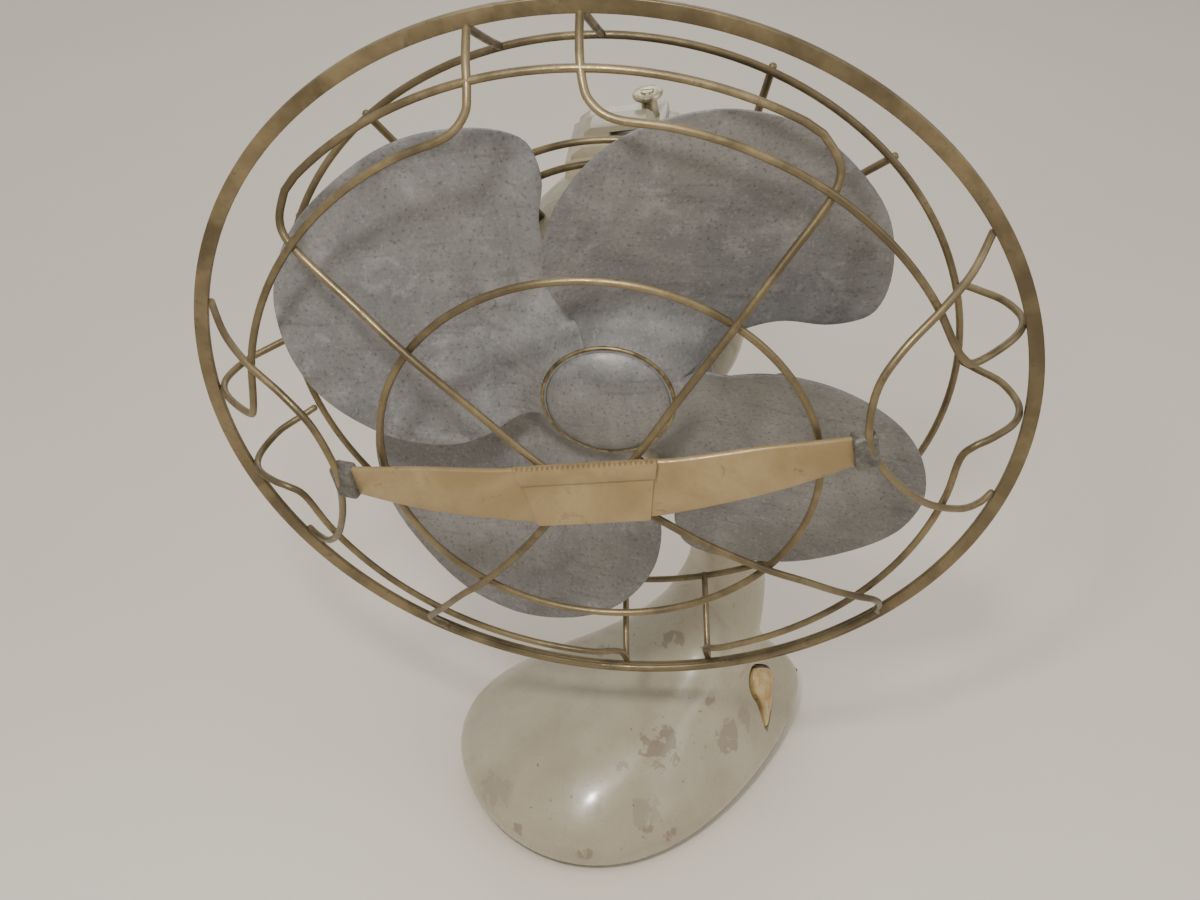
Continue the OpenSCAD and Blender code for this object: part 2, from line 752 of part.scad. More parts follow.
module guard_upper_loop() {
    leg = smooth(upper_leg, 2);
    color(bronze) at_head()
        tube(concat(leg, arc(161.5, -17, 36, -36, 16), mirrored(leg)), wire_r);
}

module guard_lower_loop() {
    leg = smooth(lower_leg, 2);
    color(bronze) at_head()
        tube(concat(leg, arc(174, -3, 142, 218, 18), mirrored(leg)), wire_r);
}

module pair() {
    children();
    mirror([1, 0, 0]) children();
}

upper_side = concat(
    [[20.5, 0, 173], [20.4, -11.6, 166], [20.6, -19, 157.5], [22.6, -23, 150.5]],
    arc(147.6, -26, 12, 76, 14),
    [[147, -24, 27], [150.5, -21, 22.8], [158, -15, 22], [167, -6, 22], [171.2, 2, 22],
    [170.8, 10, 22], [165.5, 20, 22], [157, 28, 22], [150.5, 33.5, 22]]
);
lower_side = concat(
    [[150.5, 33.5, -19], [157, 28, -20], [165, 20.5, -21], [170, 10, -22], [170.6, 1, -22],
    [167, -7, -22], [158, -14, -22.5], [151, -16.6, -24]],
    arc(148.5, -16, 102, 166, 14),
    [[28.5, -14, -147.5], [23.5, -9, -153], [21.4, -2.4, -162], [21, 1.5, -171]]
);

module guard_upper_side_wires() {
    color(bronze) at_head() pair() tube(upper_side, wire_r, [1, 0, 0]);
}

module guard_lower_side_wires() {
    color(bronze) at_head() pair() tube(lower_side, wire_r, [0, 0, 1]);
}

side_loop = [[159.5, 0.9, 67.4], [151, -14, 60.5], [139, -27, 54], [124, -37, 44], [113.6, -43, 31],
    [109.3, -45.6, 11], [111.8, -43.8, -4], [119, -37, -23.5], [131, -26, -46], [145, -12, -63.5],
    [154, -3.6, -68.5], [159.8, 1, -67]];
module guard_side_loops() {
    color(bronze) at_head() pair() tube(smooth(side_loop, 2), wire_r, [1, 0, 0]);
}

module guard_struts() {
    color(bronze) at_head() pair() {
        tube([[20.6, 36, -147.5], [20.8, 24, -156], [21, 10, -166], [21, 1.5, -173]], wire_r, [1, 0, 0]);
        tube([[19.8, 36, 148], [20.4, 24, 156], [21, 10, 166], [21, 1.5, 172.5]], wire_r, [1, 0, 0]);
    }
}

// Bent straps from the motor shell to the rear loops: outline in distance and radius
mount_y = 70.5;
STRAP = [[70.5, 57.9], [70.5, 66], [64.2, 79.5], [59.2, 95], [61.7, 95], [66.7, 79.9],
    [73, 66.5], [73, 57.9]];
module guard_brackets() {
    color(bronze) at_head() for (a = lug_turns) clockwise(a) difference() {
        translate([-4.5, 0, 0]) rotate([90, 0, 90]) linear_extrude(9) polygon(STRAP);
        translate([0, 0, 62]) along_y(mount_y - 1) cylinder(r = 1.6, h = 5);
    }
}

module guard_screws() {
    color(steel) at_head() for (a = lug_turns) clockwise(a) translate([0, 0, 62]) {
        along_y(mount_y - 2) cylinder(r = 3, h = 2);
        along_y(mount_y) cylinder(r = 1.5, h = 8);
    }
}

// ---- Emblem bar ----------------------------------------------------------
// Half of the bar: x, front y, lowest z, highest z
BAR = [[0, -61, -13, 17], [24, -60.6, -12.6, 16.6], [34, -59.8, -12, 15.6], [50, -58, -10.6, 15.4],
    [70, -55, -8.6, 15], [88, -50.4, -6.8, 12], [103, -45.6, -5.4, 9]];
bar_t = 3;
function bar_ring(b, side) = let (x = side * b[0]) [
    [x, b[1], b[2] + 1], [x, b[1] + 1, b[2]], [x, b[1] + bar_t, b[2]],
    [x, b[1] + bar_t, b[3]], [x, b[1] + 1, b[3]], [x, b[1], b[3] - 1]
];

module emblem_bar() {
    rings = concat([for (i = [len(BAR) - 1 : -1 : 1]) bar_ring(BAR[i], -1)], [for (b = BAR) bar_ring(b, 1)]);
    flutes = 14;
    color(bar_gold) at_head() union() {
        polyhedron([for (r = rings) each r], ring_faces(len(rings), 6), convexity = 4);
        // Centre block, wider at its fluted top
        along_y(-63) linear_extrude(4) polygon(concat(
            [[-24, 14], [20, 14]],
            [for (i = [flutes : -1 : 0]) let (x = -29 + 58 * i / flutes)
                each (i == 0 ? [[x, -18]] : [[x, -18], [x - 29 / flutes, -16.6]])]
        ));
    }
}

module bar_end_clips() {
    color(dark_grey) at_head() pair() translate([107.6, -44.2, 1.8]) rotate([0, 0, 18])
        difference() {
            translate([-5, -3, -8]) cube([10, 7.6, 16]);
            translate([1, -1.6, -9]) cube([3.6, 7, 18]);
        }
}

module bar_back_plate() {
    color(bronze) at_head() {
        translate([-20, -54.6, -9]) cube([40, 1.6, 18]);
        for (x = [-15, 15]) along_y(-58) translate([x, 0, 0]) cylinder(r = 2, h = 4);
    }
}

base_casting();
base_plate();
base_plate_screws();
base_pad();
cord_gland();
slot_liner();
switch_box();
choke_core();
choke_winding();
capacitor();
switch_lever();
tilt_bolt();
tilt_nut();
tilt_bracket();
swivel_post();
link_stud();
link_arm();
motor_front_shell();
motor_rear_shell();
shell_screws();
stator_core();
stator_winding();
front_bearing();
rear_bearing();
swivel_socket();
gearbox_housing();
gearbox_cover();
clutch_knob();
clutch_screw();
worm_wheel();
crank_gear();
rotor_shaft();
rotor_core();
blade_hub();
blade(blade_turn);  // blade_1
blade(blade_turn + 90);  // blade_2
blade(blade_turn + 180);  // blade_3
blade(blade_turn + 270);  // blade_4
spinner_cap();
spinner_ring();
guard_flat_ring();
guard_mid_ring();
guard_rear_ring();
guard_rear_upper_wires();
guard_rear_lower_wires();
guard_brackets();
guard_upper_loop();
guard_lower_loop();
guard_upper_side_wires();
guard_lower_side_wires();
guard_side_loops();
guard_struts();
guard_screws();
emblem_bar();
bar_end_clips();
bar_back_plate();
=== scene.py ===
import json
import math

import bmesh
import bpy
import numpy as np
from mathutils import Matrix, Vector


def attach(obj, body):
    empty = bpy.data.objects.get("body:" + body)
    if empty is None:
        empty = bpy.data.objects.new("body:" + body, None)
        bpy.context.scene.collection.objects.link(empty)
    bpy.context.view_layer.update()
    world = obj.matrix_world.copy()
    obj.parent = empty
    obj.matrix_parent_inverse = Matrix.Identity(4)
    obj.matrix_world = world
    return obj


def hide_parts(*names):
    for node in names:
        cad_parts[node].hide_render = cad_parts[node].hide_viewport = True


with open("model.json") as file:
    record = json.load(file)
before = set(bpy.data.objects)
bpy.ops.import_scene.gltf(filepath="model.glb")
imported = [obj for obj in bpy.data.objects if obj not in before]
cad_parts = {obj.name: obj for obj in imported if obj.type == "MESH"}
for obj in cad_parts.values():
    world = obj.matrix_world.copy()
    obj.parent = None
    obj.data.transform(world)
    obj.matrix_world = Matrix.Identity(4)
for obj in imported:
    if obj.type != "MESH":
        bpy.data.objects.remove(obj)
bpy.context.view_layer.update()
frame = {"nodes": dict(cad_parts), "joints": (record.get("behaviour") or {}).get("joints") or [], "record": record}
MM = 0.001
JOINTS = {j["name"]: j for j in frame["joints"]}


# ---- Frames ---------------------------------------------------------------
def frame_matrix(x, y, z, origin):
    """Matrix whose columns are three axes and an origin in metres."""
    m = Matrix.Identity(4)
    for i, column in enumerate((x, y, z, origin)):
        for row in range(3):
            m[row][i] = column[row]
    return m


# Head: origin on the fan axis in the plane of the flat guard ring, X to the
# right seen from the front, Y to the back, Z up along the swivel axis
FAN_AXIS = Vector(JOINTS["rotor_spin"]["axis"])
SWIVEL_AXIS = Vector(JOINTS["head_swivel"]["axis"])
HEAD = frame_matrix(FAN_AXIS.cross(SWIVEL_AXIS), FAN_AXIS, SWIVEL_AXIS,
                    Vector(JOINTS["rotor_spin"]["pos_m"]))
HINGE = Vector(JOINTS["head_tilt"]["pos_m"]) / MM
# Leans a part drawn upright over the hinge along the swivel axis
TILT_AXES = (Matrix.Translation(HINGE * MM)
             @ Vector((0, 0, 1)).rotation_difference(SWIVEL_AXIS).to_matrix().to_4x4()
             @ Matrix.Translation(-HINGE * MM))
BASE = Matrix.Identity(4)


# ---- Camera ---------------------------------------------------------------
def add_camera():
    data = bpy.data.cameras.new("camera")
    data.sensor_width = 36
    data.lens = 41.15
    camera = bpy.data.objects.new("camera", data)
    bpy.context.scene.collection.objects.link(camera)
    forward = Vector((-0.7076, 0.4397, -0.5531)).normalized()
    up = Vector((-0.4849, 0.2673, 0.8327))
    right = forward.cross(up).normalized()
    up = right.cross(forward)
    camera.matrix_world = frame_matrix(right, up, -forward, Vector((0.4921, -0.3425, 0.6169)))
    bpy.context.scene.camera = camera


add_camera()


# ---- Materials ------------------------------------------------------------
class Shader:
    """A Principled material whose inputs are fed by small procedural nodes."""

    def __init__(self, name, **sockets):
        self.material = bpy.data.materials.new(name)
        self.material.use_nodes = True
        self.tree = self.material.node_tree
        self.bsdf = self.tree.nodes["Principled BSDF"]
        self.coords = self.tree.nodes.new("ShaderNodeTexCoord").outputs["Object"]
        for key, value in sockets.items():
            self.bsdf.inputs[key.replace("_", " ")].default_value = value

    def link(self, source, target):
        if isinstance(source, (int, float, tuple)):
            target.default_value = source
        else:
            self.tree.links.new(source, target)

    def noise(self, scale, detail=4.0, rough=0.55, distort=0.0, vector=None):
        node = self.tree.nodes.new("ShaderNodeTexNoise")
        node.inputs["Scale"].default_value = scale
        node.inputs["Detail"].default_value = detail
        node.inputs["Roughness"].default_value = rough
        node.inputs["Distortion"].default_value = distort
        self.link(vector or self.coords, node.inputs["Vector"])
        return node.outputs["Fac"]

    def stretched(self, scale):
        node = self.tree.nodes.new("ShaderNodeMapping")
        node.inputs["Scale"].default_value = scale
        self.link(self.coords, node.inputs["Vector"])
        return node.outputs["Vector"]

    def ramp(self, value, low, high, from_value=0.0, to_value=1.0):
        """Smooth step of a value between two levels."""
        node = self.tree.nodes.new("ShaderNodeMapRange")
        node.interpolation_type = "SMOOTHSTEP"
        node.inputs["From Min"].default_value = low
        node.inputs["From Max"].default_value = high
        node.inputs["To Min"].default_value = from_value
        node.inputs["To Max"].default_value = to_value
        self.link(value, node.inputs["Value"])
        return node.outputs["Result"]

    def math(self, operation, a, b):
        node = self.tree.nodes.new("ShaderNodeMath")
        node.operation = operation
        node.use_clamp = operation in ("ADD", "SUBTRACT")
        self.link(a, node.inputs[0])
        self.link(b, node.inputs[1])
        return node.outputs["Value"]

    def near(self, point, inner, outer):
        """One within inner millimetres of a point, and nothing beyond outer."""
        node = self.tree.nodes.new("ShaderNodeVectorMath")
        node.operation = "DISTANCE"
        self.link(self.coords, node.inputs[0])
        node.inputs[1].default_value = [c * MM for c in point]
        return self.ramp(node.outputs["Value"], inner * MM, outer * MM, 1.0, 0.0)

    def mix(self, factor, a, b):
        node = self.tree.nodes.new("ShaderNodeMix")
        node.data_type = "RGBA"
        self.link(factor, node.inputs["Factor"])
        self.link(a, node.inputs["A"])
        self.link(b, node.inputs["B"])
        return node.outputs["Result"]

    def color(self, value):
        self.link(value, self.bsdf.inputs["Base Color"])

    def roughness(self, value):
        self.link(value, self.bsdf.inputs["Roughness"])

    def metallic(self, value):
        self.link(value, self.bsdf.inputs["Metallic"])

    def bump(self, height, strength, distance):
        node = self.tree.nodes.new("ShaderNodeBump")
        node.inputs["Strength"].default_value = strength
        node.inputs["Distance"].default_value = distance * MM
        self.link(height, node.inputs["Height"])
        self.link(node.outputs["Normal"], self.bsdf.inputs["Normal"])


def rgb(r, g, b):
    """Linear colour from display values of 0 to 255."""
    def line(c):
        c = c / 255
        return c / 12.92 if c <= 0.04045 else ((c + 0.055) / 1.055) ** 2.4
    return (line(r), line(g), line(b), 1.0)


def enamel_material(name, stains=()):
    """Aged greige stove enamel: mottled, with brown stains, specks and chips."""
    s = Shader(name, Specular_IOR_Level=0.5, Coat_Weight=0.35, Coat_Roughness=0.12)
    cloud = s.noise(14, 5, 0.6, 0.4)
    base = s.mix(s.ramp(cloud, 0.35, 0.7), rgb(168, 159, 137), rgb(152, 142, 118))
    grime = s.noise(42, 6, 0.65, 0.6)
    base = s.mix(s.math("MULTIPLY", s.ramp(grime, 0.56, 0.74), 0.55), base, rgb(140, 120, 92))
    blotch = s.noise(110, 5, 0.6, 1.2)
    for point, inner, outer, amount in stains:
        ragged = s.math("ADD", s.near(point, inner, outer), s.ramp(blotch, 0.34, 0.66, -0.55, 0.4))
        mask = s.math("MULTIPLY", s.ramp(ragged, 0.52, 0.66), amount)
        base = s.mix(mask, base, rgb(126, 112, 92))
    specks = s.ramp(s.noise(330, 3, 0.5), 0.70, 0.75)
    base = s.mix(s.math("MULTIPLY", specks, 0.7), base, rgb(84, 70, 55))
    s.color(base)
    s.roughness(s.ramp(grime, 0.3, 0.8, 0.22, 0.5))
    s.bump(s.math("ADD", s.noise(60, 3), s.math("MULTIPLY", s.noise(700, 2), 0.25)), 0.12, 0.6)
    return s.material


def lacquer_material(name, light, dark, rust, metallic=0.55, grain=1.0):
    """Worn metallic lacquer with darker patches, thin streaks and rust specks."""
    s = Shader(name, Specular_IOR_Level=0.5)
    cloud = s.noise(26 * grain, 5, 0.6, 0.5)
    base = s.mix(s.ramp(cloud, 0.34, 0.66), light, dark)
    wear = s.noise(130 * grain, 6, 0.7, 0.8)
    base = s.mix(s.math("MULTIPLY", s.ramp(wear, 0.58, 0.72), 0.75), base, rust)
    base = s.mix(s.math("MULTIPLY", s.ramp(s.noise(480, 3), 0.62, 0.7), 0.5), base, dark)
    s.color(base)
    s.metallic(s.ramp(wear, 0.5, 0.75, metallic, metallic * 0.35))
    s.roughness(s.ramp(wear, 0.35, 0.75, 0.3, 0.58))
    s.bump(s.math("ADD", s.noise(160, 4), s.math("MULTIPLY", s.noise(900, 2), 0.4)), 0.22, 0.35)
    return s.material


def blade_material(name):
    """Dull oxidised metal: cloudy grey with faint level streaks and fine specks."""
    s = Shader(name, Specular_IOR_Level=0.45)
    wide = s.noise(20, 4, 0.6, 0.8)
    base = s.mix(s.ramp(wide, 0.32, 0.68), rgb(112, 111, 110), rgb(134, 132, 129))
    cloud = s.noise(75, 6, 0.72, 0.5)
    base = s.mix(s.math("MULTIPLY", s.ramp(cloud, 0.52, 0.68), 0.35), base, rgb(156, 153, 149))
    streaks = s.noise(40, 5, 0.7, 0.3, s.stretched((0.6, 0.6, 5.0)))
    base = s.mix(s.math("MULTIPLY", s.ramp(streaks, 0.52, 0.72), 0.45), base, rgb(90, 86, 84))
    pits = s.noise(620, 3, 0.65)
    base = s.mix(s.math("MULTIPLY", s.ramp(pits, 0.56, 0.68), 0.55), base, rgb(76, 71, 69))
    base = s.mix(s.math("MULTIPLY", s.ramp(pits, 0.42, 0.34), 0.3), base, rgb(168, 164, 158))
    s.color(base)
    s.metallic(s.ramp(cloud, 0.3, 0.8, 0.5, 0.25))
    s.roughness(s.ramp(cloud, 0.3, 0.7, 0.4, 0.56))
    dents = s.math("MULTIPLY", s.noise(32, 3), 0.8)
    s.bump(s.math("ADD", dents, s.math("MULTIPLY", pits, 0.2)), 0.25, 0.8)
    return s.material


def amber_material(name):
    """Glossy ivory enamel gone amber, in cloudy patches with darker flecks."""
    s = Shader(name, Coat_Weight=0.6, Coat_Roughness=0.05, Specular_IOR_Level=0.55)
    cloud = s.noise(60, 4, 0.6, 0.5)
    base = s.mix(s.ramp(cloud, 0.35, 0.62), rgb(190, 168, 118), rgb(164, 124, 62))
    base = s.mix(s.math("MULTIPLY", s.ramp(s.noise(240, 4), 0.6, 0.7), 0.5), base, rgb(110, 80, 45))
    s.color(base)
    s.roughness(s.ramp(cloud, 0.3, 0.7, 0.12, 0.28))
    s.bump(s.noise(300, 2), 0.08, 0.3)
    return s.material


def metal_material(name, light, dark, roughness=0.35, streak=(1, 1, 1), metallic=0.95):
    """Bare metal with streaks, tarnish and small pits."""
    s = Shader(name)
    lines = s.noise(260, 4, 0.6, 0.2, s.stretched(streak))
    tarnish = s.noise(90, 5, 0.65, 0.5)
    base = s.mix(s.ramp(lines, 0.3, 0.7), light, dark)
    base = s.mix(s.math("MULTIPLY", s.ramp(tarnish, 0.52, 0.75), 0.6), base, dark)
    s.color(base)
    s.metallic(s.ramp(tarnish, 0.4, 0.8, metallic, metallic * 0.6))
    s.roughness(s.ramp(tarnish, 0.3, 0.8, roughness, roughness + 0.22))
    s.bump(lines, 0.15, 0.2)
    return s.material


def dull_material(name, light, dark, scale=200.0, roughness=0.6, depth=0.3):
    """Matt plastic, felt or iron: a fine grain in two tones."""
    s = Shader(name)
    grain = s.noise(scale, 5, 0.65)
    wide = s.noise(scale / 8, 4, 0.6)
    base = s.mix(s.ramp(grain, 0.35, 0.65), light, dark)
    base = s.mix(s.math("MULTIPLY", s.ramp(wide, 0.45, 0.75), 0.5), base, dark)
    s.color(base)
    s.roughness(s.ramp(grain, 0.3, 0.7, roughness, min(roughness + 0.2, 1.0)))
    s.bump(grain, 0.35, depth)
    return s.material


def wound_material(name):
    """Enamelled copper wire, as fine bands round the fan axis."""
    s = Shader(name, Coat_Weight=0.4, Coat_Roughness=0.2)
    bands = s.noise(900, 1, 0.5, 0.0, s.stretched((0.2, 1.0, 1.0)))
    s.color(s.mix(s.ramp(bands, 0.4, 0.6), rgb(150, 84, 48), rgb(84, 40, 22)))
    s.metallic(s.ramp(bands, 0.3, 0.7, 0.7, 0.4))
    s.roughness(s.ramp(bands, 0.3, 0.7, 0.3, 0.5))
    s.bump(bands, 0.5, 0.3)
    return s.material


# Worn places on the enamel: centre, inner and outer radius, and strength
STAINS = (
    ((50, -23, 57), 4, 18, 0.8), ((8, 11, 91), 2, 10, 0.7), ((-21, -16, 71), 2, 9, 0.6),
    ((42, 15, 69), 1, 6, 0.7), ((49, -47, 54), 1, 7, 0.6), ((53, -69, 44), 2, 12, 0.4),
    ((70, -44, 37), 3, 14, 0.45), ((80, -33, 22), 2, 8, 0.9), ((76, -45, 30), 1, 6, 0.8),
    ((35, -105, 23), 1, 7, 0.8), ((66, -80, 20), 2, 7, 0.8), ((52, 25, 45), 4, 17, 0.6),
    ((45, 41, 44), 3, 12, 0.5), ((13, -104, 32), 4, 20, 0.35),
)
MATERIALS = {
    "enamel": enamel_material("enamel_aged", STAINS),
    "bronze_lacquer": lacquer_material("bronze_lacquer_worn", rgb(130, 115, 84),
                                       rgb(90, 78, 55), rgb(66, 52, 42)),
    "oxidised_blade": blade_material("blade_oxidised"),
    "bar_gold": lacquer_material("bar_lacquer_gold", rgb(168, 147, 107), rgb(144, 123, 86),
                                 rgb(110, 90, 64), 0.45, 0.8),
    "dark_plastic": dull_material("dark_plastic", rgb(104, 99, 90), rgb(66, 63, 58), 260, 0.42, 0.1),
    "amber_plastic": amber_material("lever_amber"),
    "steel": metal_material("steel_plated", rgb(176, 174, 170), rgb(120, 114, 106), 0.32),
    "chrome": metal_material("chrome_dulled", rgb(206, 198, 172), rgb(150, 140, 114), 0.24),
    "copper": wound_material("copper_winding"),
    "brass": metal_material("brass_dull", rgb(158, 142, 108), rgb(104, 90, 62), 0.36),
    "felt": dull_material("felt_pressed", rgb(62, 62, 58), rgb(34, 36, 32), 900, 0.9, 0.6),
    "lamination": dull_material("iron_lamination", rgb(96, 94, 94), rgb(58, 56, 56), 420, 0.5, 0.2),
}


# ---- Mesh helpers ---------------------------------------------------------
def piece(name, points, faces, slot, body, nodes=(), matrix=BASE, sharp=35):
    """A mesh from points in millimetres, in a frame, that rides on a body."""
    mesh = bpy.data.meshes.new(name)
    mesh.from_pydata([tuple(p) for p in np.asarray(points, float) * MM], [], faces)
    mesh.validate()
    obj = bpy.data.objects.new(name, mesh)
    bpy.context.scene.collection.objects.link(obj)
    mesh.transform(matrix)
    finish_mesh(obj, sharp)
    mesh.materials.append(MATERIALS[slot])
    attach(obj, body)
    if nodes:
        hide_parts(*nodes)
    return obj


def finish_mesh(obj, sharp):
    """Outward faces, smooth shading, and sharp edges above an angle."""
    mesh = obj.data
    work = bmesh.new()
    work.from_mesh(mesh)
    bmesh.ops.recalc_face_normals(work, faces=work.faces)
    work.to_mesh(mesh)
    work.free()
    mesh.shade_smooth()
    mesh.set_sharp_from_angle(angle=math.radians(sharp))


def one_material(obj, slot):
    """Leaves a single material on an object, as a boolean adds empty ones."""
    obj.data.materials.clear()
    obj.data.materials.append(MATERIALS[slot])


def apply_modifier(obj, kind, **settings):
    modifier = obj.modifiers.new(kind.lower(), kind)
    for key, value in settings.items():
        setattr(modifier, key, value)
    bpy.context.view_layer.update()
    evaluated = obj.evaluated_get(bpy.context.evaluated_depsgraph_get())
    mesh = bpy.data.meshes.new_from_object(evaluated)
    obj.modifiers.clear()
    old = obj.data
    obj.data = mesh
    bpy.data.meshes.remove(old)


def bevelled(obj, width, segments=3, angle=30, sharp=35):
    apply_modifier(obj, "BEVEL", width=width * MM, segments=segments, limit_method="ANGLE",
                   angle_limit=math.radians(angle), harden_normals=False)
    finish_mesh(obj, sharp)
    return obj


def smooth_path(points, steps=6, closed=False):
    """Catmull-Rom curve through points."""
    p = np.asarray(points, float)
    n = len(p)
    out = []
    for i in range(n if closed else n - 1):
        if closed:
            a, b, c, d = p[i - 1], p[i], p[(i + 1) % n], p[(i + 2) % n]
        else:
            a, b, c, d = p[max(i - 1, 0)], p[i], p[i + 1], p[min(i + 2, n - 1)]
        for s in range(steps):
            t = s / steps
            out.append((2 * b + (c - a) * t + (2 * a - 5 * b + 4 * c - d) * t * t
                        + (3 * b - a - 3 * c + d) * t ** 3) / 2)
    if not closed:
        out.append(p[-1])
    return np.array(out)


def unit(v):
    return v / max(np.linalg.norm(v), 1e-9)


def grid_faces(rings, around, closed=True, caps=True, loop=False):
    """Quads between rings of points, with caps or the last ring joined to the first."""
    faces = []
    for i in range(rings if loop else rings - 1):
        for j in range(around if closed else around - 1):
            k, n = (j + 1) % around, (i + 1) % rings
            faces.append((i * around + j, i * around + k, n * around + k, n * around + j))
    if caps and not loop:
        faces.append(tuple(range(around)))
        faces.append(tuple((rings - 1) * around + j for j in range(around)))
    return faces


def tube_mesh(path, radius, sides=16, closed=False):
    """Round wire along a path, with rounded ends where it is open."""
    path = np.asarray(path, float)
    n = len(path)
    if closed:
        tangents = np.array([unit(path[(i + 1) % n] - path[i - 1]) for i in range(n)])
        radii = np.full(n, radius)
    else:
        tangents = np.array([unit(path[min(i + 1, n - 1)] - path[max(i - 1, 0)]) for i in range(n)])
        ends = [math.sin(math.radians(a)) for a in (25, 60)]
        lead = [1 - math.cos(math.radians(a)) for a in (25, 60)]
        head = [path[0] - tangents[0] * radius * (1 - b) * 0.7 for b in lead]
        tail = [path[-1] + tangents[-1] * radius * (1 - b) * 0.7 for b in reversed(lead)]
        path = np.array([*head, *path, *tail])
        tangents = np.array([tangents[0]] * 2 + list(tangents) + [tangents[-1]] * 2)
        factors = [*ends, *[1.0] * n, *reversed(ends)]
        radii = radius * np.array(factors)
    start = np.array([0.0, 1.0, 0.0])
    if abs(tangents[0][1]) > 0.9:
        start = np.array([1.0, 0.0, 0.0])
    sideways, u = [], unit(start - tangents[0] * (start @ tangents[0]))
    for t in tangents:
        u = unit(u - t * (u @ t))
        sideways.append(u)
    points = []
    for p, t, u, r in zip(path, tangents, sideways, radii):
        v = np.cross(t, u)
        for j in range(sides):
            a = 2 * math.pi * j / sides
            points.append(p + r * (math.cos(a) * u + math.sin(a) * v))
    return points, grid_faces(len(path), sides, loop=closed)


def merged(meshes):
    """One list of points and faces from several."""
    points, faces = [], []
    for p, f in meshes:
        offset = len(points)
        points += list(p)
        faces += [tuple(i + offset for i in face) for face in f]
    return points, faces


def mirrored(path):
    return np.asarray(path, float)[::-1] * (-1, 1, 1)


def both_sides(path):
    path = np.asarray(path, float)
    return [path, path * (-1, 1, 1)]


def arc(radius, y, start, end, steps):
    a = np.radians(np.linspace(start, end, steps + 1))
    return np.stack([radius * np.sin(a), np.full(len(a), y), radius * np.cos(a)], 1)


def revolve_mesh(profile, steps=128):
    """Revolves (radius, y) points about the fan axis."""
    points = []
    for i in range(steps):
        a = 2 * math.pi * i / steps
        points += [(r * math.sin(a), y, r * math.cos(a)) for r, y in profile]
    faces = []
    n = len(profile)
    for i in range(steps):
        k = (i + 1) % steps
        for j in range(n):
            m = (j + 1) % n
            faces.append((i * n + j, i * n + m, k * n + m, k * n + j))
    return points, faces


def extruded(outline, low, high, place):
    """Prism between two levels; place maps (a, b, level) to a point."""
    n = len(outline)
    points = [place(a, b, low) for a, b in outline] + [place(a, b, high) for a, b in outline]
    faces = [tuple(range(n)), tuple(range(2 * n - 1, n - 1, -1))]
    faces += [(j, (j + 1) % n, n + (j + 1) % n, n + j) for j in range(n)]
    return points, faces


# ---- Base and neck --------------------------------------------------------
# Sections of the casting: front y and z, rear y and z, half width, egg factor
SECTIONS = [
    (-99, 2.5, 99, 2.5, 64, 0.38), (-107, 6, 107, 6, 71, 0.38),
    (-111.6, 19, 111.6, 19, 75, 0.38), (-109.5, 29, 107.5, 29, 72, 0.4),
    (-99.5, 39, 96, 43.5, 63, 0.42), (-83, 49.5, 86, 56, 54, 0.41),
    (-63, 57.5, 79.5, 66.5, 46.5, 0.34), (-44, 63.5, 76, 76.5, 41.5, 0.2),
    (-24, 70, 74, 87, 36.5, 0.06), (-5, 79, 74, 98, 32.5, 0),
    (10, 91, 74.5, 109, 28.5, 0), (20, 107, 74.5, 118.5, 25, 0),
    (27, 122, 72, 128, 21.5, 0), (30.5, 136, 67, 137, 20, 0),
    (29, 155, 60, 160, 18.3, 0), (20, 175, 44, 188, 17.5, 0),
    (5, 192, 25, 210, 16.5, 0), (-8, 205, 10, 226, 15.5, 0), (-8, 218, 6, 229, 13.5, 0),
]
CAST_WALL = 4
# Last section that the hollow reaches
CORE_TOP = 14
# Fork of the hinge, and the gap for the tongue: radius and half width
FORK_R, FORK_HALF = 13, 15
FORK_GAP_R, FORK_GAP_HALF = 14.6, 9.2
LEVER_FOOT = Vector((46, 57, 32))
LEVER_TURNS = (30, 31, 37.5)


def section_ring(s, around):
    t = np.linspace(0, 2 * math.pi, around, endpoint=False)
    mid_y, mid_z = (s[0] + s[2]) / 2, (s[1] + s[3]) / 2
    half_y, half_z = (s[0] - s[2]) / 2, (s[1] - s[3]) / 2
    return np.stack([s[4] * np.sin(t) * (1 + s[5] * np.cos(t)), mid_y + half_y * np.cos(t),
                     mid_z + half_z * np.cos(t)], 1)


def core_sections():
    """Sections of the hollow, one wall inside the outer ones."""
    out = []
    for i in range(CORE_TOP + 1):
        s = SECTIONS[i]
        row = []
        for c, side in ((0, 1), (2, -1)):
            if i == 0:
                n = np.array((side, 0.0))
            else:
                a, b = SECTIONS[i - 1], SECTIONS[i + 1]
                n = unit(np.array((b[c + 1] - a[c + 1], a[c] - b[c]))) * side
            row += [s[c] + CAST_WALL * n[0], s[c + 1] + CAST_WALL * n[1]]
        out.append((*row, s[4] - CAST_WALL, s[5]))
    return out


def lever_matrix():
    az, el, lean = (math.radians(a) for a in LEVER_TURNS)
    turn = Matrix.Rotation(az, 4, "Z") @ Matrix.Rotation(-el, 4, "Y") @ Matrix.Rotation(-lean, 4, "X")
    return Matrix.Translation(LEVER_FOOT * MM) @ turn


LEVER = lever_matrix()
SLOT = [(0.6, -3), (3.2, 2.4), (8, 14), (11, 26), (11, 32), (7, 36.2), (-8, 36.4),
        (-15, 33.5), (-16.2, 26), (-12.9, 18.1), (-7.3, 12.2), (-4.4, 6), (-2, -1)]
LEVER_OUTLINE = [(0, 0), (1.6, 4), (6.6, 15), (9.4, 26), (9.4, 31), (6, 34.4), (-6, 34.4),
                 (-10.4, 31), (-11, 26), (-8, 18.5), (-3.6, 13), (-2.2, 6), (-1, 1)]


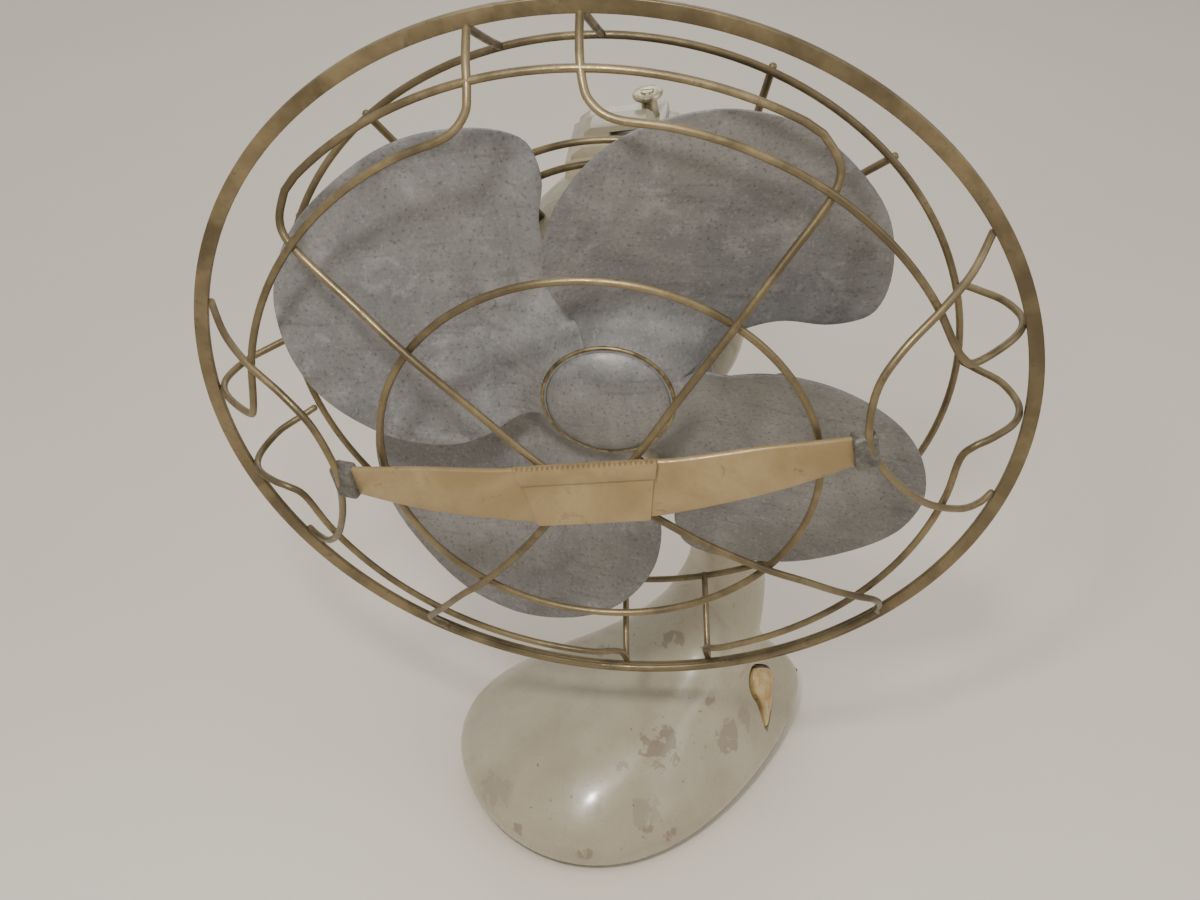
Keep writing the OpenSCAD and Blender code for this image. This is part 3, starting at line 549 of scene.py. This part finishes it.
def cutter(points, faces, matrix=BASE):
    mesh = bpy.data.meshes.new("cutter")
    mesh.from_pydata([tuple(p) for p in np.asarray(points, float) * MM], [], faces)
    mesh.transform(matrix)
    obj = bpy.data.objects.new("cutter", mesh)
    bpy.context.scene.collection.objects.link(obj)
    finish_mesh(obj, 35)
    return obj


def boolean(obj, tool, operation):
    apply_modifier(obj, "BOOLEAN", object=tool, operation=operation, solver="EXACT")
    bpy.data.objects.remove(tool)


def hinge_cylinder(radius, half, steps=64):
    points = [(x, HINGE[1] + radius * math.cos(a), HINGE[2] + radius * math.sin(a))
              for x in (-half, half) for a in np.linspace(0, 2 * math.pi, steps, endpoint=False)]
    return points, grid_faces(2, steps)


def make_base():
    around = 128
    outer = [section_ring(s, around) for s in smooth_path(SECTIONS, 6)]
    inner = [section_ring(s, around) for s in smooth_path(core_sections(), 3)][::-1]
    rings = outer + inner
    points = np.concatenate(rings)
    faces = []
    for i in range(len(rings)):
        if i == len(outer) - 1:
            continue
        n = (i + 1) % len(rings)
        faces += [(i * around + j, i * around + (j + 1) % around, n * around + (j + 1) % around,
                   n * around + j) for j in range(around)]
    faces.append(tuple((len(outer) - 1) * around + j for j in range(around)))
    faces.append(tuple(len(outer) * around + j for j in range(around)))
    base = piece("base_and_neck", points, faces, "enamel", "stand", ["base_casting"])
    boolean(base, cutter(*hinge_cylinder(FORK_R, FORK_HALF)), "UNION")
    boolean(base, cutter(*hinge_cylinder(FORK_GAP_R, FORK_GAP_HALF)), "DIFFERENCE")
    slot = smooth_path(SLOT, 4, closed=True)
    boolean(base, cutter(*extruded(slot, -14, 12, lambda a, b, x: (x, a, b)), LEVER), "DIFFERENCE")
    finish_mesh(base, 40)
    one_material(base, "enamel")


def make_lever():
    """Glossy tapered lever: a crowned face with a crease along its rear edge."""
    outline = smooth_path(LEVER_OUTLINE, 4, closed=True)
    middle = np.array((1.2, 22.0))
    levels = [(1.0, -7.2), (1.0, -1.0), (0.985, 0.0), (0.93, 0.9), (0.8, 1.7), (0.55, 2.3), (0.25, 2.6)]
    rings = []
    for scale, x in levels:
        flat = middle + (outline - middle) * scale
        crease = 0.7 * np.exp(-((flat[:, 0] - 3.4) / 1.6) ** 2) * (1 - scale) * 2
        rings.append(np.stack([x + crease, flat[:, 0], flat[:, 1]], 1))
    points = np.concatenate(rings)
    piece("switch_lever_skin", points, grid_faces(len(rings), len(outline)), "amber_plastic",
          "lever", ["switch_lever"], LEVER, 40)


make_base()
make_lever()


# ---- Blades and hub -------------------------------------------------------
BLADE_TURN = 55.3
BLADE_T = 1.4
HUB_R = 29.0
# Where each blade starts and ends round the axis, in degrees, by radius
LEADING = [(27, -66), (45, -66), (67, -66.5), (89, -61), (108.5, -53.5), (125.5, -45.5),
           (138, -37), (146.4, -28.6), (149.3, -22), (149.9, -18)]
TRAILING = [(27, 25), (45.7, 23), (60.7, 20), (77, 21), (94, 26.4), (110, 27), (119.3, 24),
            (129.4, 16.3), (139.6, 5.6), (145.7, -6), (149, -13.5), (149.9, -18)]


def blade_depth(r, degrees):
    """Distance of the sheet behind the flat ring: pitch, cup, rake and hub cone."""
    a = np.radians(degrees)
    sheet = 17 + 22.6 * np.sin(a) * (r / 110) ** 0.93 - 9.1 * a * a - 6 * (r - 110) / 110
    cone = 0.4 + (r - HUB_R) * 0.62
    t = np.clip((r - HUB_R - 2) / 24, 0, 1)
    blend = t * t * (3 - 2 * t)
    return cone * (1 - blend) + sheet * blend


def blade_side(edge, radii):
    curve = smooth_path(edge, 8)
    order = np.argsort(curve[:, 0], kind="stable")
    return np.interp(radii, curve[order, 0], curve[order, 1])


def make_blade(index):
    across = 40
    s = np.linspace(0, 1, 46)
    radii = 27 + (149.9 - 27) * (1 - (1 - s) ** 1.8)
    lead, trail = blade_side(LEADING, radii), blade_side(TRAILING, radii)
    t = np.linspace(0, 1, across)
    degrees = lead[:, None] + (trail - lead)[:, None] * t[None]
    r = np.repeat(radii[:, None], across, 1)
    dents = 0.12 * np.sin(r / 9 + index) * np.sin(np.radians(degrees) * 7 + 2 * index)
    y = blade_depth(r, degrees) + dents
    turn = np.radians(degrees + BLADE_TURN + 90 * index)
    mid = np.stack([r * np.sin(turn), y, r * np.cos(turn)], -1)
    n = len(radii)
    points = np.concatenate([(mid + (0, side * BLADE_T / 2, 0)).reshape(-1, 3) for side in (-1, 1)])
    faces = grid_faces(n, across, closed=False, caps=False)
    faces += [tuple(i + n * across for i in f[::-1]) for f in faces]
    rim = list(range(across)) + [i * across + across - 1 for i in range(1, n)]
    rim += [(n - 1) * across + j for j in range(across - 2, -1, -1)]
    rim += [i * across for i in range(n - 2, 0, -1)]
    faces += [(a, b, b + n * across, a + n * across) for a, b in zip(rim, rim[1:] + rim[:1])]
    obj = piece(f"blade_{index + 1}_sheet", points, faces, "oxidised_blade", "rotor",
                [f"blade_{index + 1}"], HEAD, 40)
    work = bmesh.new()
    work.from_mesh(obj.data)
    bmesh.ops.remove_doubles(work, verts=work.verts, dist=0.02 * MM)
    work.to_mesh(obj.data)
    work.free()
    bevelled(obj, 0.45, 2, 50, 40)


def make_hub():
    back = [(4, 6), (12, 6), (12, 13), (24, 12), (26, 1.5), (28, 0.8), (29, 2.2), (38, 10), (44, 17),
            (44, 19.5), (12, 19.5), (12, 29), (4, 29)]
    piece("hub_cone", *revolve_mesh(back), "oxidised_blade", "rotor", ["blade_hub"], HEAD)
    dome = [(27.4 * math.sin(math.radians(a)), -9 + 9.6 * (1 - math.cos(math.radians(a))))
            for a in np.linspace(0.5, 90, 20)]
    piece("spinner_dome", *revolve_mesh([*dome, (26.5, 3), (0.1, 3)]), "oxidised_blade", "rotor",
          ["spinner_cap"], HEAD)
    ring = [(28.4 + 0.9 * math.cos(a), -0.5 + 0.9 * math.sin(a))
            for a in np.linspace(0, 2 * math.pi, 20, endpoint=False)]
    piece("spinner_band", *revolve_mesh(ring), "brass", "rotor", ["spinner_ring"], HEAD)


for i in range(4):
    make_blade(i)
make_hub()


# ---- Guard ----------------------------------------------------------------
WIRE_R = 1.6
MID_R, MID_Y = 90, -41
REAR_R, REAR_Y = 149.5, 35.3
UPPER_LEG = [(9, -56.2, 5), (20, -55.4, 15.5), (40, -51, 39), (63, -44, 64), (84, -33.4, 85.5),
             (98, -26.3, 99.5), (104.6, -22.5, 108.5), (105.2, -19.6, 116), (100.5, -17.4, 125.5)]
LOWER_LEG = [(9, -56.2, -5), (20, -55.4, -15.5), (40, -51, -39), (62, -44, -62.5),
             (77, -39.5, -75.5), (90, -32.8, -90), (99.5, -26, -101.5), (106, -18.5, -112),
             (108.2, -11.5, -122.5), (106.6, -5.5, -133)]
UPPER_SIDE = [(20.5, 0, 173), (20.4, -11.6, 166), (20.6, -19, 157.5), (22.6, -23, 150.5),
              *arc(147.6, -26, 12, 76, 8),
              (147, -24, 27), (150.5, -21, 22.8), (158, -15, 22), (167, -6, 22), (171.2, 2, 22),
              (170.8, 10, 22), (165.5, 20, 22), (157, 28, 22), (150.5, 33.5, 22)]
LOWER_SIDE = [(150.5, 33.5, -19), (157, 28, -20), (165, 20.5, -21), (170, 10, -22),
              (170.6, 1, -22), (167, -7, -22), (158, -14, -22.5), (151, -16.6, -24),
              *arc(148.5, -16, 102, 166, 8),
              (28.5, -14, -147.5), (23.5, -9, -153), (21.4, -2.4, -162), (21, 1.5, -171)]
SIDE_LOOP = [(159.5, 0.9, 67.4), (151, -14, 60.5), (139, -27, 54), (124, -37, 44),
             (113.6, -43, 31), (109.3, -45.6, 11), (111.8, -43.8, -4), (119, -37, -23.5),
             (131, -26, -46), (145, -12, -63.5), (154, -3.6, -68.5), (159.8, 1, -67)]
STRUTS = [[(20.6, 36, -147.5), (20.8, 24, -156), (21, 10, -166), (21, 1.5, -173)],
          [(19.8, 36, 148), (20.4, 24, 156), (21, 10, 166), (21, 1.5, 172.5)]]
# Right leg of each rear loop, from the end of its arc to the rear ring
INNER_LEG = [(54, 58.6, 75.1), (57.3, 58.3, 73.5), (60.4, 57.4, 73.7), (62.7, 56.2, 75.6),
             (64.2, 54.8, 79), (68, 50.6, 89), (75, 44.2, 107.4), (82, 38.2, 126.2)]
OUTER_LEG = [(65.3, 62.8, 45.4), (67.4, 62.6, 43.2), (69.6, 62.1, 42.5), (71.9, 61.3, 42.8),
             (74, 60.5, 43.7), (88, 54.5, 54), (107, 46.3, 68.4), (125.9, 38.2, 82.5)]
LUG_TURNS = (33, 147, 213, 327)
# Outline of a guard bracket: distance behind the flat ring, and radius
STRAP = [(70.5, 57.9), (70.5, 66), (64.2, 79.5), (59.2, 95), (61.7, 95), (66.7, 79.9),
         (73, 66.5), (73, 57.9)]


def wires(name, paths, nodes, closed=False):
    meshes = [tube_mesh(p, WIRE_R, 16, closed) for p in paths]
    piece(name, *merged(meshes), "bronze_lacquer", "head", nodes, HEAD, 50)


def turned(path, degrees):
    a = math.radians(degrees)
    turn = np.array([[math.cos(a), 0, math.sin(a)], [0, 1, 0], [-math.sin(a), 0, math.cos(a)]])
    return np.asarray(path, float) @ turn.T


def make_flat_ring():
    half, outer, band, r = 1.3, 180, 6.2, 0.5
    profile = []
    for x, y, start in ((outer - r, half - r, 0), (outer - band + r, half - r, 90),
                        (outer - band + r, r - half, 180), (outer - r, r - half, 270)):
        for a in np.radians(start + np.linspace(0, 90, 4)):
            profile.append((x + r * math.cos(a), y + r * math.sin(a)))
    piece("guard_front_band", *revolve_mesh(profile, 200), "bronze_lacquer", "head",
          ["guard_flat_ring"], HEAD)


def ring_path(r, y, steps=160):
    return arc(r, y, 0, 360, steps)[:-1]


def rear_loops(flip):
    """The two arcs over the motor, with their legs out to the rear ring."""
    loops = []
    for radius, y, reach, leg in ((92.5, 58.6, 34, INNER_LEG), (79.5, 62.8, 53, OUTER_LEG)):
        right = smooth_path(leg, 5)
        loop = np.concatenate([mirrored(right), arc(radius, y, -reach, reach, 40), right])
        loops.append(loop * (1, 1, flip))
    return loops


def make_brackets():
    meshes = []
    for degrees in LUG_TURNS:
        points, faces = extruded(STRAP, -4.5, 4.5, lambda y, r, x: (x, y, r))
        meshes.append((turned(points, degrees), faces))
    bevelled(piece("guard_straps", *merged(meshes), "bronze_lacquer", "head",
                   ["guard_brackets"], HEAD), 0.5, 3)


def make_guard():
    make_flat_ring()
    wires("guard_front_ring", [ring_path(MID_R, MID_Y)], ["guard_mid_ring"], True)
    wires("guard_back_ring", [ring_path(REAR_R, REAR_Y)], ["guard_rear_ring"], True)
    wires("guard_back_upper_wires", rear_loops(1), ["guard_rear_upper_wires"])
    wires("guard_back_lower_wires", rear_loops(-1), ["guard_rear_lower_wires"])
    make_brackets()
    upper, lower = smooth_path(UPPER_LEG, 5), smooth_path(LOWER_LEG, 5)
    wires("guard_upper_wire", [np.concatenate([upper, arc(161.5, -17, 36, -36, 40), mirrored(upper)])],
          ["guard_upper_loop"])
    wires("guard_lower_wire", [np.concatenate([lower, arc(174, -3, 142, 218, 44), mirrored(lower)])],
          ["guard_lower_loop"])
    wires("guard_upper_arcs", both_sides(smooth_path(UPPER_SIDE, 5)), ["guard_upper_side_wires"])
    wires("guard_lower_arcs", both_sides(smooth_path(LOWER_SIDE, 5)), ["guard_lower_side_wires"])
    wires("guard_side_hoops", both_sides(smooth_path(SIDE_LOOP, 6)), ["guard_side_loops"])
    struts = [side for s in STRUTS for side in both_sides(smooth_path(s, 5))]
    wires("guard_stays", struts, ["guard_struts"])


make_guard()


# ---- Motor ----------------------------------------------------------------
# Outline of the motor shell: radius and distance behind the flat ring
SHELL = [(9, 33), (26, 33), (34, 36), (46, 42), (54, 50), (57, 60), (58, 80), (56, 100),
         (52, 115), (47, 130), (38, 142), (26, 148), (0.5, 150)]
SHELL_WALL = 2.4
SEAM = 6
SWIVEL_Y = 84
CRANK_Y = 119
# Levels of the shell's open underside, and the radii cut out of it
UNDERSIDE = (-70, -40)
SOCKET_CUT = 14.2
CRANK_CUT = 19.8
WORM = (18, 128)
HUMP = [(-24, 30), (-23.6, 46), (-22, 54), (-17, 60), (25, 60), (29, 52), (31, 30)]
HUMP_Y = (104, 141)


def shell_half(part, name, node):
    """Smooth half of the motor shell, with its wall turned in."""
    outer = smooth_path(part, 6)
    steps = np.gradient(outer, axis=0)
    inward = np.stack([-steps[:, 1], steps[:, 0]], 1)
    inward = inward / np.linalg.norm(inward, axis=1)[:, None]
    inner = outer + inward * SHELL_WALL
    inner[:, 0] = np.maximum(inner[:, 0], 0.4)
    return piece(name, *revolve_mesh([*outer, *inner[::-1]]), "enamel", "head", [node], HEAD)


def upright_drum(x, y, low, high, radius, steps=64):
    a = np.linspace(0, 2 * math.pi, steps, endpoint=False)
    points = [(x + radius * math.cos(t), y + radius * math.sin(t), z) for z in (low, high) for t in a]
    return points, grid_faces(2, steps)


def make_shells():
    front = shell_half(SHELL[:SEAM + 1], "motor_front_skin", "motor_front_shell")
    socket = upright_drum(0, SWIVEL_Y, *UNDERSIDE, SOCKET_CUT)
    boolean(front, cutter(*socket, HEAD), "DIFFERENCE")
    rear = shell_half([(58, 80.1), *SHELL[SEAM + 1:]], "motor_rear_skin", "motor_rear_shell")
    crank = upright_drum(0, CRANK_Y, *UNDERSIDE, CRANK_CUT)
    for hole in (socket, crank):
        boolean(rear, cutter(*hole, HEAD), "DIFFERENCE")
    hump = extruded(smooth_path(HUMP, 3), *HUMP_Y, lambda a, b, y: (a, y, b))
    boolean(rear, cutter(*hump, HEAD), "UNION")
    for obj in (front, rear):
        bevelled(obj, 0.6, 2, 40, 40)
        one_material(obj, "enamel")


def make_cover():
    """Lid of the hump: a bridge over a slot, and the guide of the knob."""
    lid = extruded([(-18.5, 60), (-18, 62), (-12, 65.5), (25, 65.5), (25, 60)], *HUMP_Y,
                   lambda a, b, y: (a, y, b))
    cover = piece("gear_cover_skin", *lid, "enamel", "head", ["gearbox_cover"], HEAD)
    bridge = extruded([(-12, 64.5), (-10.5, 71), (-7.5, 73), (18, 73), (20.4, 71), (22, 64.5)],
                      107, 120, lambda a, b, y: (a, y, b))
    boolean(cover, cutter(*bridge, HEAD), "UNION")
    slot = extruded([(1, 65.7), (18, 65.7), (18, 70), (1, 70)], 100, 130, lambda a, b, y: (a, y, b))
    boolean(cover, cutter(*slot, HEAD), "DIFFERENCE")
    boolean(cover, cutter(*upright_drum(*WORM, 50, 80, 4), HEAD), "DIFFERENCE")
    bevelled(cover, 0.9, 3, 30, 40)
    one_material(cover, "enamel")


def turned_part(name, profile, slot, node, body):
    """Part turned about the worm's axis, from (radius, height) points."""
    points, faces = revolve_mesh(profile, 64)
    points = [(x + WORM[0], z + WORM[1], y) for x, y, z in points]
    return piece(name, points, faces, slot, body, [node], HEAD)


def make_knob():
    turned_part("clutch_knob_skin", [
        (0.3, 15), (2.5, 15), (2.5, 52), (3.8, 52), (3.8, 73.8), (5.2, 74.4), (6.6, 75.1), (7.1, 75.8),
        (7.15, 76.6), (6.8, 77.3), (6.2, 77.6), (3.2, 77.6), (3.1, 76.2), (1.5, 76), (1.5, 70), (0.3, 70)
    ], "chrome", "clutch_knob", "clutch")


def along_hinge(x, y, z):
    """Point from its distance behind, above and along the tilt hinge."""
    return (HINGE[0] + z, HINGE[1] + x, HINGE[2] + y)


def make_yoke():
    """Tongue of the hinge, with a round flange under the swivel."""
    turn = np.linspace(0, 2 * math.pi, 64, endpoint=False)
    radius, half = 12, 8.7
    outline = [(radius * math.cos(a), radius * math.sin(a)) for a in turn]
    tongue = piece("yoke_skin", *extruded(outline, -half, half, along_hinge), "enamel", "yoke",
                   ["tilt_bracket"], TILT_AXES)
    block = extruded([(-9, 4), (9, 4), (9, 27.5), (-9, 27.5)], -half, half, along_hinge)
    boolean(tongue, cutter(*block, TILT_AXES), "UNION")
    flange = [(0.4, 20.5), (9, 20.5), (12, 22.5), (15, 25.5), (25.4, 25.5), (26, 26.1),
              (26, 27.9), (25.4, 28.5), (0.4, 28.5)]
    points, faces = revolve_mesh(flange, 96)
    points = [along_hinge(z, y, x) for x, y, z in points]
    boolean(tongue, cutter(points, faces, TILT_AXES), "UNION")
    bevelled(tongue, 0.8, 3, 40, 40)
    one_material(tongue, "enamel")


make_shells()
make_cover()
make_knob()
make_yoke()


# ---- Emblem bar -----------------------------------------------------------
BAR = [(0, -61, -13, 17), (24, -60.6, -12.6, 16.6), (34, -59.8, -12, 15.6), (50, -58, -10.6, 15.4),
       (70, -55, -8.6, 15), (88, -50.4, -6.8, 12), (103, -45.6, -5.4, 9)]
BAR_T = 3


def make_bar():
    half = smooth_path(BAR, 6)
    rows = np.concatenate([(half * (-1, 1, 1, 1))[::-1][:-1], half])
    points = []
    for x, y, low, high in rows:
        edge = 0.9
        for dy, z in ((0, low + edge), (0.27, low + 0.27), (edge, low), (BAR_T - edge, low),
                      (BAR_T, low + edge), (BAR_T, high - edge), (BAR_T - edge, high),
                      (edge, high), (0.27, high - 0.27), (0, high - edge)):
            points.append((x, y + dy, z))
    piece("emblem_bar_body", points, grid_faces(len(rows), 10), "bar_gold", "head",
          ["emblem_bar"], HEAD, 50)
    make_badge()


def make_badge():
    """Plain centre panel under a raised strip with a fluted top edge."""
    panel = [(-27, 11), (27, 11), (22, -12.6), (20.8, -13.6), (-23.8, -13.6), (-25, -12.6)]
    panel = extruded(panel, -61.9, -59, lambda a, b, y: (a, y, b))
    bevelled(piece("emblem_block", *panel, "bar_gold", "head", [], HEAD), 0.5, 3)
    flutes, top, half = 28, 18, 29
    pitch = 2 * half / flutes
    outline = [(-27.2, 9.6), (-half, top - 1)]
    for i in range(flutes):
        left = i * pitch - half
        outline += [(left + 0.3 * pitch, top), (left + 0.7 * pitch, top), (left + pitch, top - 1)]
    outline += [(27.2, 9.6)]
    strip = extruded(outline[::-1], -62.9, -60, lambda a, b, y: (a, y, b))
    bevelled(piece("emblem_strip", *strip, "bar_gold", "head", [], HEAD), 0.3, 2)


def make_clips():
    meshes = []
    for side in (-1, 1):
        turn = math.radians(18) * side
        outline = [(-5, -3), (5, -3), (5, 4.6), (-5, 4.6)]

        def place(a, b, z, side=side, turn=turn):
            x, y = a * side, b
            return (107.6 * side + x * math.cos(turn) - y * math.sin(turn),
                    -44.2 + x * math.sin(turn) + y * math.cos(turn), 1.8 + z)
        meshes.append(extruded(outline, -8, 8, place))
    bevelled(piece("bar_tip_clips", *merged(meshes), "dark_plastic", "head", ["bar_end_clips"], HEAD),
             1.6, 4)


make_bar()
make_clips()


# ---- CAD nodes that stay --------------------------------------------------
SLOTS = {row["node"]: row["material_slot"] for row in frame["record"]["subparts"]}
for name, obj in frame["nodes"].items():
    one_material(obj, SLOTS[name])


# ---- Floor and light ------------------------------------------------------
def make_floor():
    s = Shader("floor_pale", Specular_IOR_Level=0.3)
    s.color(s.mix(s.noise(3, 3), rgb(226, 218, 204), rgb(220, 211, 196)))
    s.roughness(0.65)
    size = 6
    mesh = bpy.data.meshes.new("floor")
    corners = [(-size, -size, 0), (size, -size, 0), (size, size, 0), (-size, size, 0)]
    mesh.from_pydata(corners, [], [(0, 1, 2, 3)])
    floor = bpy.data.objects.new("floor", mesh)
    bpy.context.scene.collection.objects.link(floor)
    mesh.materials.append(s.material)


def area_light(name, place, size, energy, color=(1, 1, 1)):
    data = bpy.data.lights.new(name, "AREA")
    data.shape = "RECTANGLE"
    data.size, data.size_y = size
    data.energy = energy
    data.color = color
    lamp = bpy.data.objects.new(name, data)
    bpy.context.scene.collection.objects.link(lamp)
    lamp.location = place
    lamp.rotation_euler = (Vector((0, 0, 0.22)) - Vector(place)).to_track_quat("-Z", "Y").to_euler()


def make_light():
    world = bpy.data.worlds.new("studio")
    bpy.context.scene.world = world
    world.use_nodes = True
    world.node_tree.nodes["Background"].inputs["Color"].default_value = (1.0, 0.98, 0.95, 1)
    world.node_tree.nodes["Background"].inputs["Strength"].default_value = 0.62
    area_light("flash", (0.37, -0.39, 0.76), (0.06, 0.06), 3.6, (1.0, 0.98, 0.95))
    area_light("key", (0.5, -0.5, 2.0), (1.2, 0.9), 10, (1.0, 0.97, 0.92))
    area_light("fill", (1.4, 0.9, 1.2), (1.0, 1.0), 5)
    area_light("back", (-1.6, 0.8, 1.4), (1.2, 0.8), 6)


make_floor()
make_light()
